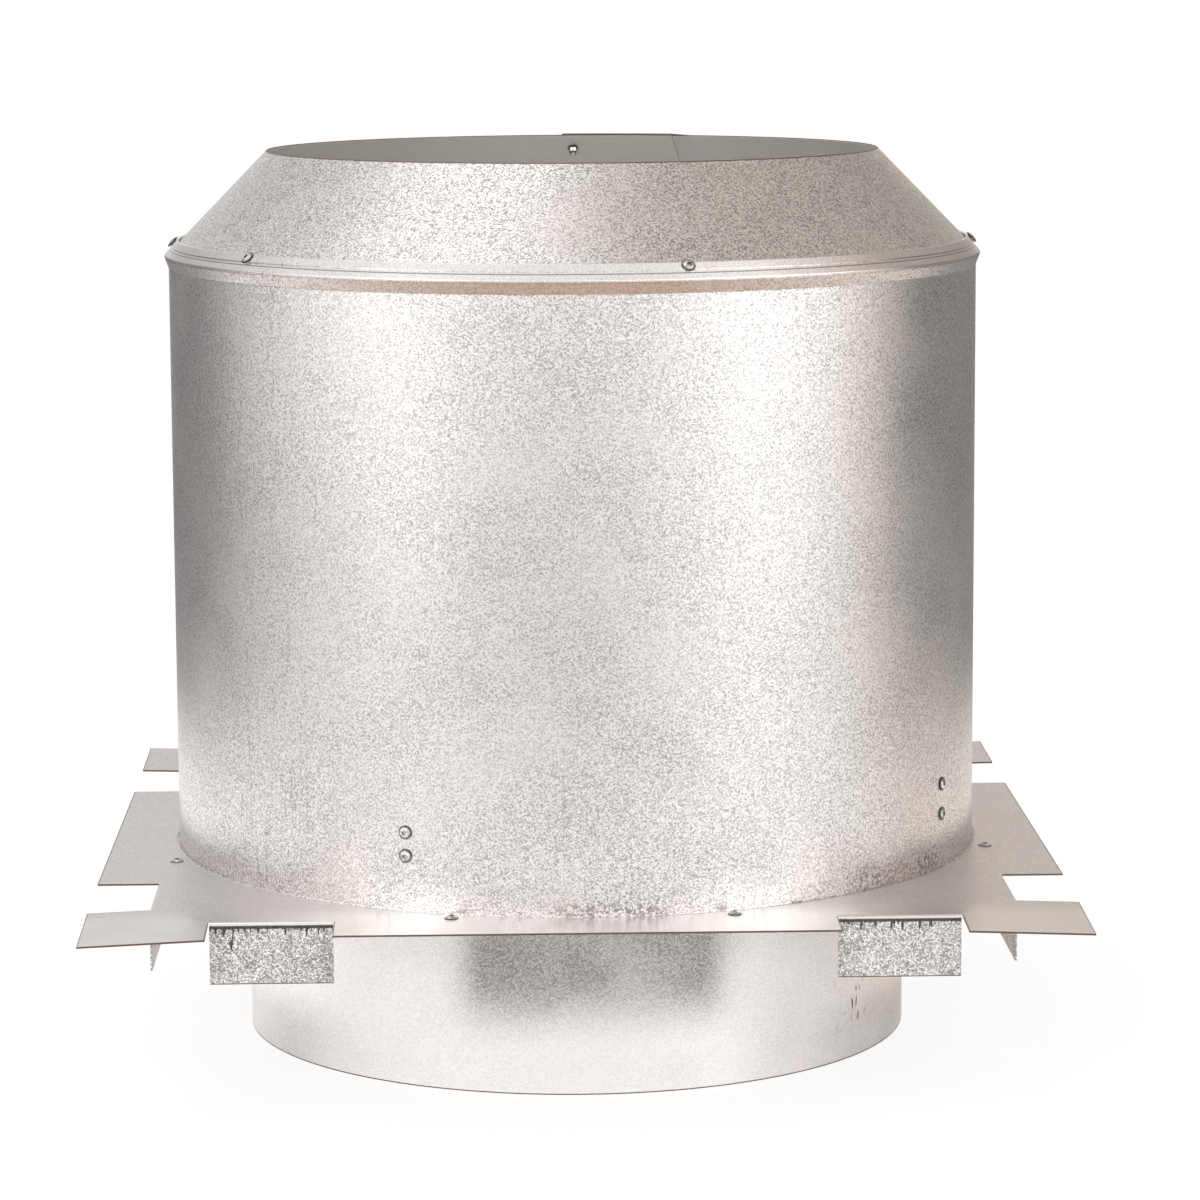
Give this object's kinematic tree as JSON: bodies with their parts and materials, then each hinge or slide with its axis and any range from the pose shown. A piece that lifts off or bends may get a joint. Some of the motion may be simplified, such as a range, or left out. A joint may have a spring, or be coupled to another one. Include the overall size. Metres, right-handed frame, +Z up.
{
  "type": "ceiling and attic shield for a chimney pipe",
  "caption": "Round sheet-steel drum with a conical top on a square plate with folded tabs, and a narrower sleeve hanging below on spacer brackets, for a flue pipe to pass a ceiling.",
  "frame": {"origin": "on the drum's axis at the sleeve's lower rim, which the part stands on", "axes": "+Z up along the drum's axis, -Y towards the pictured front, X and Y square to the plate's edges"},
  "size_m": [0.4064, 0.4064, 0.3845],
  "materials": {
    "galvanised_sheet": "hot-dip galvanised, fine dull spangle",
    "galvanised_bracket": "hot-dip galvanised, fine dull spangle",
    "rivet_steel": "zinc-plated, satin",
    "mandrel_steel": "dull steel wire"
  },
  "bodies": {
    "root": {"base_plate": "galvanised_sheet", "shield_drum": "galvanised_sheet", "top_cone": "galvanised_sheet", "inner_sleeve": "galvanised_sheet", "spacer_bracket_1": "galvanised_bracket", "spacer_bracket_2": "galvanised_bracket", "spacer_bracket_3": "galvanised_bracket", "spacer_bracket_4": "galvanised_bracket", "plate_rivets": "rivet_steel", "plate_rivet_mandrels": "mandrel_steel", "shoulder_rivets": "rivet_steel", "shoulder_rivet_mandrels": "mandrel_steel", "cone_seam_rivets": "rivet_steel", "cone_seam_rivet_mandrels": "mandrel_steel", "drum_seam_rivets": "rivet_steel", "drum_seam_rivet_mandrels": "mandrel_steel", "sleeve_seam_rivets": "rivet_steel", "sleeve_seam_rivet_mandrels": "mandrel_steel", "spacer_drum_rivets": "rivet_steel", "spacer_drum_rivet_mandrels": "mandrel_steel", "spacer_sleeve_rivets": "rivet_steel", "spacer_sleeve_rivet_mandrels": "mandrel_steel"}
  },
  "joints": []
}
